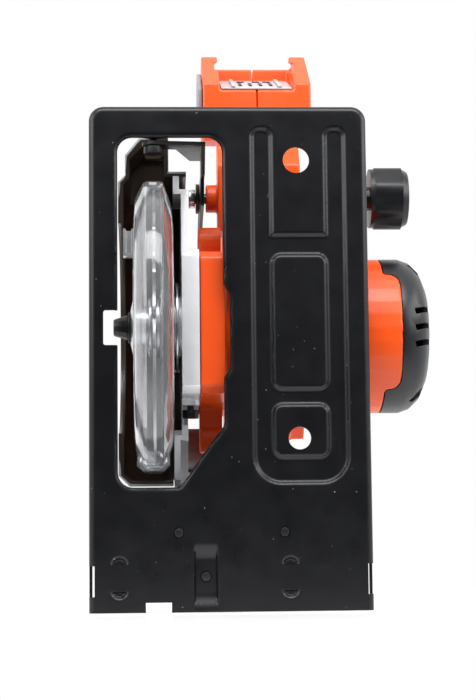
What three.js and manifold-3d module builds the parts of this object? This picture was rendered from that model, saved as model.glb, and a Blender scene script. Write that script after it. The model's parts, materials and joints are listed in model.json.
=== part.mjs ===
// Cordless circular saw: sole plate, tilting frame, saw head, guards, drive train and handle.
// Millimetres. X to the motor side, Y in the direction of cut, Z up; z = 0 is the underside of
// the sole plate, y = 0 is under the arbor, x = 0 is the land beside the blade window.
import * as THREE from 'three';
import { mergeVertices } from 'three/addons/utils/BufferGeometryUtils.js';
import Module from 'manifold-3d';

const wasm = await Module();
wasm.setup();

// ---- driving dimensions -------------------------------------------------------------------
const GAP = 0.3; // clearance between pieces that touch on the real saw
const SHEET = 2; // sheet steel of the sole plate and brackets
const FINENESS = 0.75; // share of its nominal number of sides that a turned piece gets
const SOLE = { x0: -81, x1: 69, y0: -117.5, y1: 153.5, corner: 8, flange: 8.5 };
const WINDOW = { x0: -65.7, x1: -9.2, y0: -100.2, y1: 88, corner: 8 };
const LADDER = { x0: 6, x1: 57.5, y0: -105.7, y1: 87, leg: 12, rise: 2 };
const FENCE = { x: -19.6, y0: 118.5, y1: 151.3, width: 13, slotY0: 129, slotY1: 145 };

const ARBOR = { y: 0, z: 27 };
const BLADE = { x: -46, r: 75, thick: 1.6, bore: 8.2, teeth: 24 };
const MODULE = 1.25; // gear tooth module
const GEAR_TEETH = 34;
const PINION_TEETH = 9;
const CENTRES = (MODULE * (GEAR_TEETH + PINION_TEETH)) / 2;
const LINE_OF_CENTRES = (8 * 2 * Math.PI) / GEAR_TEETH; // eight tooth pitches above the Y axis
const MOTOR = {
  y: ARBOR.y + CENTRES * Math.cos(LINE_OF_CENTRES),
  z: ARBOR.z + CENTRES * Math.sin(LINE_OF_CENTRES),
  r: 43.5,
  wall: 2.6,
};

const LOWER = { x0: -56.5, x1: -36.2, r: 80, shoulder: 66, flat: 11, wall: 1.6, hub: 17.3 };
const UPPER = { x0: -66, x1: -36, skirt: -28.3, r: 87, wall: 3, eye: 58, edge: 26 };
const CASE = { inner: -31.3, face: -21.9, end: -35.6, wall: 3.3, foot: 2.2 };
const HOUSING = { x0: -21.6, x1: 80, tongue: 88.5, foot: 6 };

const TILT = { x: BLADE.x, z: 9, boss: 6.4, pin: 2.5 }; // bevel axis, along Y
const SWING = { y: 94, z: 42, boss: 8.5, pin: 3 }; // depth axis, along X
const TILT_BOLT = { r: 60, angle: 10 }; // clamp bolt of the bevel quadrant, from the bevel axis
const DEPTH_BOLT = { y: -78, z: 60, r: 3 };
const DEPTH_TRAVEL = 20; // degrees

const SPLIT = 13.6; // parting plane of the two handle shells
const GRIP_HALF = 19;
const BAR_HALF = 23.5; // the bar below the finger loop
const FOOT_HALF = 31.2;

const ORANGE = [0xf0450a, 0.45, 0];
const BLACK_PLASTIC = [0x17181a, 0.6, 0];
const BLACK_STEEL = [0x141416, 0.5, 0.3];
const SOFT_BLACK = [0x1c1c1e, 0.85, 0];
const STEEL = [0xb9bcc0, 0.3, 1];
const CASTING = [0xd2d4d6, 0.4, 0.9];
const DARK = [0x2a2422, 0.35, 0.1];
const CLEAR = [0xdfe4e8, 0.08, 0];
const COPPER = [0xb06a3a, 0.4, 0.9];
const GREY = [0x8d8f92, 0.7, 0];

// ---- solids -------------------------------------------------------------------------------
// A closed geometry becomes a solid that can be joined and cut; a mirrored one is turned out.
function solid(geometry) {
  const bare = geometry.clone();
  bare.deleteAttribute('normal');
  bare.deleteAttribute('uv');
  const merged = mergeVertices(bare, 1e-4);
  const p = merged.attributes.position.array;
  const kept = [];
  let volume = 0;
  for (let i = 0; i < merged.index.count; i += 3) {
    const [a, b, c] = [0, 1, 2].map((k) => merged.index.getX(i + k));
    if (a === b || b === c || c === a) continue;
    kept.push(a, b, c);
    const [A, B, C] = [a, b, c].map((v) => new THREE.Vector3(p[3 * v], p[3 * v + 1], p[3 * v + 2]));
    volume += A.dot(B.cross(C));
  }
  if (volume < 0) kept.reverse();
  const mesh = { numProp: 3, vertProperties: Float32Array.from(p), triVerts: Uint32Array.from(kept) };
  return new wasm.Manifold(new wasm.Mesh(mesh));
}

function geometryOf(body) {
  const { vertProperties, triVerts } = body.getMesh();
  const geometry = new THREE.BufferGeometry();
  geometry.setAttribute('position', new THREE.BufferAttribute(new Float32Array(vertProperties), 3));
  geometry.setIndex(new THREE.BufferAttribute(new Uint32Array(triVerts), 1));
  geometry.computeVertexNormals();
  return geometry;
}

const join = (...bodies) => bodies.reduce((a, b) => a.add(b));
const cut = (body, ...tools) => tools.reduce((a, b) => a.subtract(b), body);

function extruded(points, depth, basis, origin) {
  const shape = new THREE.Shape(points.map(([u, v]) => new THREE.Vector2(u, v)));
  const geometry = new THREE.ExtrudeGeometry(shape, { depth, bevelEnabled: false, curveSegments: 8 });
  const place = new THREE.Matrix4().makeBasis(...basis.map((v) => new THREE.Vector3(...v)));
  geometry.applyMatrix4(place.setPosition(...origin));
  return solid(geometry);
}

// Outlines are [y, z] along X, [x, z] along Y and [x, y] along Z.
const alongX = (points, x0, x1) => extruded(points, x1 - x0, [[0, 1, 0], [0, 0, 1], [1, 0, 0]], [x0, 0, 0]);
const alongY = (points, y0, y1) => extruded(points, y1 - y0, [[1, 0, 0], [0, 0, 1], [0, -1, 0]], [0, y1, 0]);
const alongZ = (points, z0, z1) => extruded(points, z1 - z0, [[1, 0, 0], [0, 1, 0], [0, 0, 1]], [0, 0, z0]);

function box(x0, x1, y0, y1, z0, z1) {
  const geometry = new THREE.BoxGeometry(x1 - x0, y1 - y0, z1 - z0);
  geometry.translate((x0 + x1) / 2, (y0 + y1) / 2, (z0 + z1) / 2);
  return solid(geometry);
}

// A turned piece: [along, radius] points about the X, Y or Z axis through (a, b).
function turned(profile, a, b, sides, axis = 'X') {
  const closed = profile[0][1] === 0 ? profile : [...profile, profile[0]];
  const facets = Math.max(8, Math.round(sides * FINENESS));
  const lathe = new THREE.LatheGeometry(closed.map(([h, r]) => new THREE.Vector2(r, h)), facets);
  const X = [1, 0, 0];
  const Y = [0, 1, 0];
  const Z = [0, 0, 1];
  const turn = { X: [Y, X, Z.map((v) => -v)], Y: [X, Y, Z], Z: [X, Z, Y.map((v) => -v)] }[axis];
  const at = { X: [0, a, b], Y: [a, 0, b], Z: [a, b, 0] }[axis];
  const place = new THREE.Matrix4().makeBasis(...turn.map((v) => new THREE.Vector3(...v)));
  lathe.applyMatrix4(place.setPosition(...at));
  return solid(lathe);
}

const rod = (h0, h1, r) => [[h0, 0], [h0, r], [h1, r], [h1, 0]];
const tube = (h0, h1, r0, r1) => [[h0, r0], [h0, r1], [h1, r1], [h1, r0]];
const rodX = (x0, x1, r, y, z, sides = 16) => turned(rod(x0, x1, r), y, z, sides, 'X');
const rodY = (y0, y1, r, x, z, sides = 16) => turned(rod(y0, y1, r), x, z, sides, 'Y');
const rodZ = (z0, z1, r, x, y, sides = 16) => turned(rod(z0, z1, r), x, y, sides, 'Z');
const tubeX = (x0, x1, r0, r1, y, z, sides = 24) => turned(tube(x0, x1, r0, r1), y, z, sides, 'X');

// Points on an arc, in degrees.
function arc(u, v, r, from, to, steps) {
  return Array.from({ length: steps + 1 }, (_, i) => {
    const t = ((from + ((to - from) * i) / steps) * Math.PI) / 180;
    return [u + r * Math.cos(t), v + r * Math.sin(t)];
  });
}

// A rectangle with round corners: radii in the order low-low, high-low, high-high, low-high.
function rounded(u0, u1, v0, v1, radii, steps = 4) {
  const [a, b, c, d] = Array.isArray(radii) ? radii : [radii, radii, radii, radii];
  return [
    ...arc(u0 + a, v0 + a, a, 180, 270, steps),
    ...arc(u1 - b, v0 + b, b, 270, 360, steps),
    ...arc(u1 - c, v1 - c, c, 0, 90, steps),
    ...arc(u0 + d, v1 - d, d, 90, 180, steps),
  ];
}

const group = new THREE.Group();
function place(name, body, [color, roughness, metalness], clear = false) {
  const material = new THREE.MeshStandardMaterial({ color, roughness, metalness });
  if (clear) Object.assign(material, { transparent: true, opacity: 0.4 });
  const mesh = new THREE.Mesh(geometryOf(body), material);
  mesh.name = name;
  group.add(mesh);
}

// ---- sole plate ---------------------------------------------------------------------------
const soleOutline = (inset) => {
  const r = SOLE.corner - inset;
  const [x0, x1] = [SOLE.x0 + inset, SOLE.x1 - inset];
  return rounded(x0, x1, SOLE.y0 + inset, SOLE.y1, [r, r, 0.01, 0.01]);
};

// The window has a bay for the motor housing, a notch for the blade bolt and a cut-off corner.
function windowOutline(g) {
  const { x0, x1, y0, y1, corner } = WINDOW;
  const r = corner + g;
  return [
    ...arc(x0 + corner, y0 + corner, r, 180, 270, 4),
    ...arc(x1 - corner, y0 + corner, r, 270, 360, 4),
    [x1 + g, -20], [x1 + g + 3.4, -15], [x1 + g + 3.4, 25], [x1 + g - 1, 30], [x1 + g - 1.1, 55.4],
    [x1 + g - 8, 66], [-33 + g, y1 + g],
    ...arc(x0 + corner, y1 - corner, r, 90, 180, 4),
    [x0 - g, 12.4 + g], [x0 - g - 7.6, 12.4 + g], [x0 - g - 7.6, -6.3 - g], [x0 - g, -6.3 - g],
  ];
}

// The stiffening ladder: two legs, a wide body and two raised pads, pressed up from below.
function ladder(g, z0, z1) {
  const { x0, x1, y0, y1, leg } = LADDER;
  const legs = [x0, x1 - leg].map((x) => {
    const outline = rounded(x - g, x + leg + g, y0 - g, 0, [5 + g, 5 + g, 0.5, 0.5]);
    return alongZ(outline, z0, z1);
  });
  const body = alongZ(rounded(x0 - g, x1 + g, -47.6 - g, y1 + g, [1, 1, 13 + g, 13 + g]), z0, z1);
  const pads = [[-35.1, 35.4], [45.5, 71.6]].map(([a, b]) => {
    return alongZ(rounded(x0 + leg + g, x1 - leg - g, a + g, b - g, 4 - g), z0 - 1, z1 + 1);
  });
  return cut(join(...legs, body), ...pads);
}

function guideTab(x, y, g, z0, z1) {
  const side = x < 0 ? 90 : -90;
  return alongZ(arc(x, y, 4 + g, side - 90 - 8, side + 90 + 8, 6), z0, z1);
}

function solePlate() {
  const { x0, x1, y1, flange } = SOLE;
  const ring = cut(
    alongZ(soleOutline(0), 0, flange),
    alongZ(soleOutline(SHEET), SHEET, flange + 1),
    box(x0 - 1, x1 + 1, 150, y1 + 1, SHEET, flange + 1),
  );
  const collar = alongZ(windowOutline(SHEET), 0, 4.2);
  const channel = (g, a, b) => {
    const half = FENCE.width / 2 + g;
    return alongZ(rounded(FENCE.x - half, FENCE.x + half, FENCE.y0 - g, FENCE.y1 + g, 4 + g), a, b);
  };
  const tabs = [[-65, 126.8], [-65, 144], [25, 127.3], [25, 144]];
  const raised = [ladder(SHEET, 1, SHEET + LADDER.rise), collar, channel(1.8, 1, 5)];
  raised.push(...tabs.map(([x, y]) => guideTab(x, y, 1.5, 1, 3.6)));
  const holes = [ladder(0, -1, LADDER.rise), alongZ(windowOutline(0), -1, 6), channel(0, -1, 3.2)];
  holes.push(...tabs.map(([x, y]) => guideTab(x, y, 0, -1, 1.8)));
  holes.push(rodZ(-1, 5, 7.1, 30.7, -87.5, 24), rodZ(-1, 5, 6, 30.8, 62.6, 24));
  holes.push(rodZ(-1, 7, 2.9, FENCE.x, 135, 12));
  holes.push(...RIVETS.map(([x, y]) => rodZ(-1, 5, 2.8, x, y, 12)));
  holes.push(box(-51.2, -37.6, 148.3, y1 + 1, -1, 5));
  holes.push(...[[x0 - 1, x0 + 2.3], [x1 - 2.3, x1 + 1]].map(([a, b]) => {
    return box(a, b, FENCE.slotY0, FENCE.slotY1, -1, 8);
  }));
  return cut(join(ring, ...raised), ...holes);
}

const RIVETS = [[-33.7, 112], [22.2, 112]];
const rivet = ([x, y]) => turned([[0, 0], [0, 2.5], [4.6, 2.5], [4.6, 3.6], [5.6, 3], [6.2, 0]], x, y, 12,
  'Z');

// ---- bevel quadrant, rear ear and the tilting frame -----------------------------------------
const radians = (d) => (d * Math.PI) / 180;
const tiltPoint = (r, angle) => [TILT.x + r * Math.cos(radians(angle)),
  TILT.z + r * Math.sin(radians(angle))];
const QUADRANT_Y = 106;
const FLOOR = SHEET + GAP; // pieces that stand on the sole plate start here

function bevelQuadrant() {
  const { x, z } = TILT;
  const outline = [
    [x - 8, FLOOR], [22, FLOOR], ...arc(x, z, 70, 0, 66, 10), ...arc(x, z, 50, 66, 8, 8),
    [x + 9, z + 8], ...arc(x, z, 8, 70, 180, 5),
  ];
  const slot = [...arc(x, z, 63.2, 5, 60, 8), ...arc(x, z, 56.8, 60, 5, 8)];
  const upright = alongY(outline, QUADRANT_Y, QUADRANT_Y + SHEET);
  const foot = box(-42, 30, QUADRANT_Y, 116.2, FLOOR, FLOOR + SHEET);
  const holes = RIVETS.map(([a, b]) => rodZ(0, 6, 2.8, a, b, 12));
  const pivot = rodY(QUADRANT_Y - 1, 110, TILT.pin + GAP, x, z);
  return cut(join(upright, foot), alongY(slot, QUADRANT_Y - 1, 110), pivot, ...holes);
}

function rearEar() {
  const { x, z } = TILT;
  const outline = [[x - 12, FLOOR], [x + 12, FLOOR], ...arc(x, z + 1, 8, 0, 180, 8)];
  const upright = alongY(outline, -105, -103);
  const foot = box(x - 14, x + 14, -113.6, -103, FLOOR, FLOOR + SHEET);
  return cut(join(upright, foot), rodY(-106, -102, TILT.pin + GAP, x, z));
}

function frontBracket() {
  const { x, z, boss, pin } = TILT;
  const y1 = QUADRANT_Y - GAP * 2;
  const outline = [
    ...arc(x, z, boss, 150, 280, 5), [18, 9], [22, 14], [22, 26], [10, 33], [-18, 56], [-33, 56], [-40, 30],
  ];
  const plate = alongY(outline, y1 - SHEET, y1);
  const ear = alongX(
    [[y1 - 1, 30], [y1 - 1, 54], ...arc(SWING.y, SWING.z, SWING.boss, 60, 270, 8)], -27.5, -25.3,
  );
  const [bx, bz] = tiltPoint(TILT_BOLT.r, TILT_BOLT.angle);
  return cut(
    join(plate, ear), rodY(100, 108, pin + GAP, x, z), rodY(100, 108, pin + GAP + 0.5, bx, bz),
    rodX(-30, -20, SWING.pin + GAP, SWING.y, SWING.z),
  );
}

// Bent from one sheet: the rear pivot plate turns forward into the slotted depth arc.
function depthBracket() {
  const { x, z, boss, pin } = TILT;
  const reach = Math.hypot(DEPTH_BOLT.y - SWING.y, DEPTH_BOLT.z - SWING.z);
  const start = (Math.atan2(DEPTH_BOLT.z - SWING.z, DEPTH_BOLT.y - SWING.y) * 180) / Math.PI;
  const sweep = (r, a, b, n) => arc(SWING.y, SWING.z, r, start + a, start + b, n);
  const arm = [...sweep(reach + 11, 8, -DEPTH_TRAVEL - 4, 10), ...sweep(reach - 9, -DEPTH_TRAVEL - 4, 8, 10)];
  const strap = alongX(arm, -20, -18);
  const slot = [...sweep(reach + 3.6, 1.6, -DEPTH_TRAVEL - 1.6, 10),
    ...sweep(reach - 3.6, -DEPTH_TRAVEL - 1.6, 1.6, 10)];
  const rear = alongY([...arc(x, z, boss, 110, 300, 6), [-18, 6], [-18, 46], [-26, 46], [-34, 17]], -99, -97);
  const corner = alongX([[-99, 6], [-84, 20], [-84, 48], [-99, 48]], -20, -18);
  const body = cut(join(strap, rear, corner), alongX(slot, -22, -16));
  return cut(body, rodY(-101, -95, pin + GAP, x, z));
}

const rearPin = () => turned(
  [[-107, 0], [-107, TILT.pin], [-96.7, TILT.pin], [-96.7, 5.5], [-92.7, 5.5], [-92.7, 0]], TILT.x,
    TILT.z, 16, 'Y',
);
const frontPin = () => turned(
  [[100.5, 0], [100.5, 5], [103, 5], [103, TILT.pin], [110.5, TILT.pin], [110.5, 0]], TILT.x, TILT.z, 16, 'Y',
);
const swingPin = () => turned(
  [[-36, 0], [-36, 5], [-31.7, 5], [-31.7, SWING.pin], [-22.5, SWING.pin], [-22.5, 0]], SWING.y, SWING.z,
    16, 'X',
);

function tiltBolt() {
  const [x, z] = tiltPoint(TILT_BOLT.r, TILT_BOLT.angle);
  return turned([[99, 0], [99, 5], [102.9, 5], [102.9, 2.6], [124, 2.6], [124, 0]], x, z, 16, 'Y');
}

// A lobed knob: the outline swells and dips round the axis.
function lobed(r, dip, lobes, steps) {
  return Array.from({ length: steps }, (_, i) => {
    const t = (i * 2 * Math.PI) / steps;
    const reach = r - dip * (0.5 - 0.5 * Math.cos(lobes * t));
    return [reach * Math.cos(t), reach * Math.sin(t)];
  });
}

function tiltKnob() {
  const [x, z] = tiltPoint(TILT_BOLT.r, TILT_BOLT.angle);
  const wings = alongY(lobed(13, 3, 5, 30).map(([u, v]) => [x + u, z + v]), 112, 128);
  const collar = rodY(108.4, 113, 8, x, z, 20);
  return cut(join(wings, collar), rodY(107, 125, 2.6 + GAP, x, z));
}

// ---- guards -------------------------------------------------------------------------------
// Cross-section of the lower guard: a flat crown, two chamfers and two side walls.
function guardSection(inset) {
  const { x0, x1, r, shoulder, flat } = LOWER;
  const mid = (x0 + x1) / 2;
  const slope = inset * 0.6;
  return [
    [x0 + inset, shoulder - slope], [mid - flat / 2 + inset * 0.4, r - inset],
    [mid + flat / 2 - inset * 0.4, r - inset], [x1 - inset, shoulder - slope],
  ];
}

function lowerGuard() {
  const { x0, x1, r, wall, hub } = LOWER;
  const [a, b, c, d] = guardSection(0);
  const [e, f, g, h] = guardSection(wall);
  const profile = [
    [x0, 34], a, b, c, d, [x1, hub], [x1 - wall, hub], h, g, f, e, [x0 + wall, 34],
  ];
  const drum = turned(profile, ARBOR.y, ARBOR.z, 56, 'X');
  const upperHalf = box(x0 - 1, x1 + 1, -r - 2, r + 2, ARBOR.z, ARBOR.z + r + 2);
  const hubRing = tubeX(x1 - wall - 0.8, x1, hub, hub + 5, ARBOR.y, ARBOR.z, 32);
  const lip = cut(
    box(x0 + 0.4, x1 - 3.4, 58, 78.5, ARBOR.z - 24, ARBOR.z - 2),
    box(x0 + 2, x1 - 5, 50, 76.9, ARBOR.z - 30, ARBOR.z + 2),
  );
  const rim = cut(drum, upperHalf);
  return join(rim, lip, hubRing);
}

const LEVER = { y0: -52, y1: -37, z0: 10, z1: 19 };
const guardLever = () => cut(
  box(-62.8, LOWER.x0 - GAP, LEVER.y0, LEVER.y1, LEVER.z0, LEVER.z1),
  box(-61.4, -58.4, LEVER.y0 - 1, LEVER.y1 - 2, LEVER.z0 - 1, LEVER.z1 - 2),
);

function upperGuard() {
  const { x0, x1, skirt, r, wall, eye, edge } = UPPER;
  const profile = [
    [x0, eye], [x0, r - 6], [x0 + 6, r], [skirt, r], [skirt, r - wall], [x0 + 7, r - wall],
    [x0 + wall, r - 7], [x0 + wall, eye],
  ];
  const hood = turned(profile, ARBOR.y, ARBOR.z, 56, 'X');
  const below = box(x0 - 1, 20, -r - 2, r + 2, -80, edge);
  const chuteOutline = (g) => [
    [x0 + 4 + g, -70], [x0 + 4 + g, -96 + g], [x0 + 12 + g, -106 + 2 * g], [x1 - 2 - g, -106 + 2 * g],
      [x1 - 2 - g, -70],
  ];
  const chute = alongZ(chuteOutline(0), edge, 66);
  const duct = alongZ([...chuteOutline(2.4).slice(1, 4), [x1 - 4.4, -62], [x0 + 6.4, -62]], edge - 1, 63.6);
  const mouth = box(x0 + 15, x1 - 6, -110, -95, edge + 5, 60);
  const core = turned(rod(x0 + wall, skirt + 0.01, r - wall), ARBOR.y, ARBOR.z, 56, 'X');
  const chuteShell = cut(chute, core, mouth);
  const shroudProfile = tube(x1 - 1, -15, r - wall, r);
  const sector = alongX([[0, 27], ...arc(0, 27, 110, 24, 52, 3)], x1 - 2, -10);
  const shroud = turned(shroudProfile, ARBOR.y, ARBOR.z, 56, 'X').intersect(sector);
  const lugRoom = box(x1 - 0.1, skirt + 1, 60, 95, edge - 1, 52.6);
  const cleared = cut(join(cut(hood, below, lugRoom), chuteShell), duct);
  return join(cleared, shroud);
}

const guardRing = () => tubeX(-39.9, -39.1, 17.3, 20, ARBOR.y, ARBOR.z, 32);

// The torsion spring is one coil with a leg at each end.
function guardSpring() {
  const coil = turned(arc(-33.8, 24, 0.9, 0, 300, 5), ARBOR.y, ARBOR.z, 32, 'X');
  return join(coil, rodX(-35.4, -32.6, 0.9, 24, ARBOR.z, 8));
}

// ---- gear case and drive train --------------------------------------------------------------
function caseOutline(g, foot) {
  const { y, z } = MOTOR;
  return [
    [-36 + g, foot + g], [34 - g, foot + g], [38 - g, foot + 4 + g],
    ...arc(y, z, 45 - g, -30, 210, 18), [-40 + g, foot + 4 + g],
  ];
}

function gearCase() {
  const { inner, face, end, wall, foot } = CASE;
  const [ay, az] = [ARBOR.y, ARBOR.z];
  const blank = (x0, x1) => alongX([...arc(ay, az, 83.4, 0, 180, 22), [-83.4, 22], [83.4, 22]], x0, x1);
  const disc = cut(blank(inner, inner + wall), box(-40, 0, -90, -76, 0, 120), box(-40, 0, 62, 90, 0, 120));
  const ends = [[-90, -74], [60, 90]].map(([a, b]) => blank(end,
    end + wall).intersect(box(-40, -20, a, b, 0, 120)));
  const steps = [[-76, -73.4], [59.4, 62]].map(([a, b]) => blank(end,
    inner + wall).intersect(box(-40, -20, a, b, 0, 120)));
  const chamber = alongX(caseOutline(0, foot), inner, face);
  const nose = rodX(-40.2, inner + 1, LOWER.hub - GAP, ay, az, 32);
  const lug = alongX([[56, 36], [56, 50], ...arc(SWING.y, SWING.z, SWING.boss, 90, -90, 8)], inner,
    inner + wall);
  const slab = alongX([[56, 34], [56, 52], [90, 50], [90, 34]], end, inner + wall);
  const lockBoss = rodY(34, 45, 5, -26.6, az, 16);
  const cavity = join(
    alongX(caseOutline(3, foot), inner + wall, face + 1), rodX(inner + wall, face + 1, 23, ay, az, 40),
  );
  const buttonRoom = box(-33, -20, 43, 54, az - 6, az + 6);
  const seat = rodX(-37, inner + wall + 1, 15.3, ay, az, 32);
  const bore = rodX(-41, -30, 10, ay, az, 24);
  const lockBore = rodY(20, 47, 2.2, -26.6, az, 12);
  const swing = rodX(-40, -20, SWING.pin + GAP, SWING.y, SWING.z);
  const headRoom = rodX(-40, inner, 5.6, SWING.y, SWING.z);
  const body = join(disc, ...ends, ...steps, chamber, nose, lug, slab, lockBoss);
  const taps = CASE_SCREWS.map(([y, z]) => rodX(-30, -20, 2.3, y, z, 10));
  return cut(body, cavity, seat, bore, buttonRoom, lockBore, swing, headRoom, ...taps);
}

const CASE_SCREWS = [[-33, 12], [33, 12]];
const caseScrew = ([y, z]) => turned(
  [[-26, 0], [-26, 2], [-9, 2], [-9, 4], [-6, 4], [-6, 0]], y, z, 12, 'X',
);

// Trapezoid teeth, with running clearance at tip and flank.
function gearOutline(teeth, y, z, phase) {
  const pitchR = (MODULE * teeth) / 2;
  const pitch = 360 / teeth;
  const [root, tip] = [pitchR - 1.25, pitchR + 0.85];
  return Array.from({ length: teeth }, (_, i) => {
    const a = phase + i * pitch;
    const at = (r, offset) => arc(y, z, r, a + offset * pitch, a, 1)[0];
    return [at(root, -0.27), at(tip, -0.1), at(tip, 0.1), at(root, 0.27)];
  }).flat();
}

const GEAR_X = [-27.2, -22.4];
const CENTRE_ANGLE = (LINE_OF_CENTRES * 180) / Math.PI;
function spindleGear() {
  const outline = gearOutline(GEAR_TEETH, ARBOR.y, ARBOR.z, CENTRE_ANGLE + 180 / GEAR_TEETH);
  return cut(alongX(outline, ...GEAR_X), rodX(-30, -20, 8 + GAP, ARBOR.y, ARBOR.z, 20));
}
function pinion() {
  const outline = gearOutline(PINION_TEETH, MOTOR.y, MOTOR.z, CENTRE_ANGLE + 180);
  return cut(alongX(outline, ...GEAR_X), rodX(-30, -20, 2.5 + GAP, MOTOR.y, MOTOR.z, 12));
}

function spindle() {
  const profile = [
    [-56, 0], [-56, 6], [-47.6, 6], [-47.6, 7.7], [-41.6, 7.7], [-40.8, 9], [-37, 9],
    [-37, 7.2], [-28, 7.2], [-28, 8], [-22, 8], [-22, 5], [-15.5, 5], [-15.5, 0],
  ];
  return cut(turned(profile, ARBOR.y, ARBOR.z, 20, 'X'), rodX(-58, -49, 4.3, ARBOR.y, ARBOR.z, 16));
}

const bearing = (x0, x1, r0, r1, { y, z }) => tubeX(x0, x1, r0, r1, y, z, 24);
const innerFlange = () => tubeX(BLADE.x + 1.1, -41.7, 7.7 + GAP, 17, ARBOR.y, ARBOR.z, 32);
const outerFlange = () => turned(
  [[-47.1 - 0.8, 6.3], [-47.9, 17], [-50, 17], [-51.5, 12], [-55, 12], [-56.8, 17], [-57.4, 17],
    [-59.2, 9], [-59.2, 6.3]],
  ARBOR.y, ARBOR.z, 32, 'X',
);
const boltWasher = () => tubeX(-60.4, -59.5, 4.5, 8.5, ARBOR.y, ARBOR.z, 20);

function bladeBolt() {
  const head = turned(
    [[-68.5, 0], [-68.5, 4.3], [-67.6, 4.8], [-60.7, 7], [-60.7, 4], [-49.5, 4], [-49.5, 0]], ARBOR.y,
      ARBOR.z, 16, 'X',
  );
  return cut(head, alongX(arc(ARBOR.y, ARBOR.z, 2.9, 0, 300, 5), -70, -64));
}

// Each tooth has a steep front and a long curved back.
function sawBlade() {
  const { x, r, thick, bore, teeth } = BLADE;
  const pitch = 360 / teeth;
  const outline = Array.from({ length: teeth }, (_, i) => {
    const a = -i * pitch;
    const at = (radius, part) => arc(ARBOR.y, ARBOR.z, radius, a - part * pitch, a, 1)[0];
    return [at(r, 0), at(r - 0.6, 0.14), at(r - 4.5, 0.55), at(r - 8, 0.8), at(r - 7.5, 0.93),
      at(r - 3, 0.98)];
  }).flat().reverse();
  const plate = alongX(outline, x - thick / 2, x + thick / 2);
  const slots = [30, 120, 210, 300].map((a) => {
    const [y, z] = arc(ARBOR.y, ARBOR.z, 52, a, a, 1)[0];
    return rodX(x - 2, x + 2, 2.6, y, z, 12);
  });
  return cut(plate, rodX(x - 2, x + 2, bore, ARBOR.y, ARBOR.z, 28), ...slots);
}

// ---- motor --------------------------------------------------------------------------------
function bearingPlate() {
  const outline = [
    ...arc(MOTOR.y, MOTOR.z, 16, 0, 180, 10), ...arc(ARBOR.y, ARBOR.z, 14, 180, 360, 10),
  ];
  return cut(
    alongX(outline, -21.3, -13), rodX(-21.6, -15, 9.8, ARBOR.y, ARBOR.z, 24),
      rodX(-21.6, -14.4, 11.3, MOTOR.y, MOTOR.z, 24),
    rodX(-22, -12, 5.6, MOTOR.y, MOTOR.z), rodX(-22, -12, 6, ARBOR.y, ARBOR.z),
  );
}

// The tongue of the housing that laps over the end cap, top and bottom.
function tongue(g) {
  const outline = rounded(60, HOUSING.tongue + g, -28.5 - g, 35 + g, 6 + g);
  const shell = tubeX(70, HOUSING.tongue + g, MOTOR.r - MOTOR.wall - g, MOTOR.r + g, MOTOR.y, MOTOR.z, 48);
  return shell.intersect(alongZ(outline, -20, 120));
}

function motorHousing() {
  const { x0, x1, foot } = HOUSING;
  const { y, z, r, wall } = MOTOR;
  const flange = alongX(caseOutline(0.4, foot), x0, -8);
  const lobes = [[-50, 44], [60, 44]].map(([ly, lz]) => {
    return alongX([...arc(ly, lz, 8.5, 0, 360, 16).slice(0, 16)], x0, -9);
  });
  const ribs = [box(x0, -9, -50, -30, 38, 50), box(x0, -9, 34, 60, 38, 50)];
  const shoulder = turned([[-9, 0], [-9, 45], [-3, r], [x1, r], [x1, 0]], y, z, 48, 'X');
  const keep = alongX([[-90, foot], [90, foot], [90, 130], [-90, 130]], x0 - 1, x1 + 1);
  const seat = alongX([...arc(y, z, 16.6, 0, 180, 10), ...arc(0, 27, 14.6, 180, 360, 10)], x0 - 1, -12);
  const pot = rodX(-13, x1 + 1, r - wall, y, z, 48);
  const trim = alongX([[-45, 0], [45, 0], [45, foot + 5], [-45, foot + 5]], -11.5, -2);
  const potCut = cut(pot, trim);
  const screws = CASE_SCREWS.flatMap(([sy, sz]) => [rodX(x0 - 1, 0, 2.3, sy, sz, 10),
    rodX(-9.3, 0, 4.4, sy, sz, 12)]);
  const bosses = CAP_SCREWS.map(([sy, sz]) => rodX(66, x1, 5, sy, sz,
    12).intersect(rodX(66, x1, r - 1, y, z, 48)));
  const outer = join(flange, ...lobes, ...ribs, shoulder.intersect(keep));
  const holes = CAP_SCREWS.map(([sy, sz]) => rodX(72, x1 + 1, 2, sy, sz, 10));
  return cut(join(cut(outer, seat, potCut), ...bosses, tongue(0)), ...screws, ...holes);
}

const CAP_SCREWS = [[MOTOR.y - 34, MOTOR.z - 16], [MOTOR.y + 34, MOTOR.z - 16], [MOTOR.y - 34, MOTOR.z + 16]];
const CAP_PROFILE = [[80.3, 43.5], [90.5, 43.5], [96.5, 41.4], [101.6, 36.5], [105.2, 28], [106.6, 18],
  [106.6, 0]];

function endCap() {
  const { y, z } = MOTOR;
  const skin = turned([[80.3, 0], ...CAP_PROFILE], y, z, 48, 'X');
  const hollow = turned([[79, 0], [79, 38.4], [90, 38.4], [95.5, 36.5], [99.5, 32], [102.4, 24],
    [103.4, 0]], y, z, 32, 'X');
  const hub = tubeX(84, 104.5, 9.9, 13, y, z, 20);
  const spokes = box(84, 92, y - 38.6, y + 38.6, z - 1.5, z + 1.5);
  const bore = rodX(83, 92.2, 9.9, y, z, 20);
  const slots = [-9, 0, 9].flatMap((s) => [-1, 1].map((side) => {
    const geometry = new THREE.BoxGeometry(13, 3.2, 26);
    geometry.rotateZ(-0.28);
    geometry.translate(102, y + s - 2, z + side * 34);
    return solid(geometry);
  }));
  const pockets = CAP_SCREWS.flatMap(([sy, sz]) => [rodX(79, 110, 2.2, sy, sz, 10),
    rodX(92, 115, 4.4, sy, sz, 14)]);
  const posts = CAP_SCREWS.map(([sy, sz]) => rodX(80.3, 96, 6, sy, sz, 14).intersect(skin));
  return cut(join(cut(skin, hollow), cut(join(hub, spokes), bore), ...posts), ...slots, ...pockets,
    tongue(GAP));
}

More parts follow.
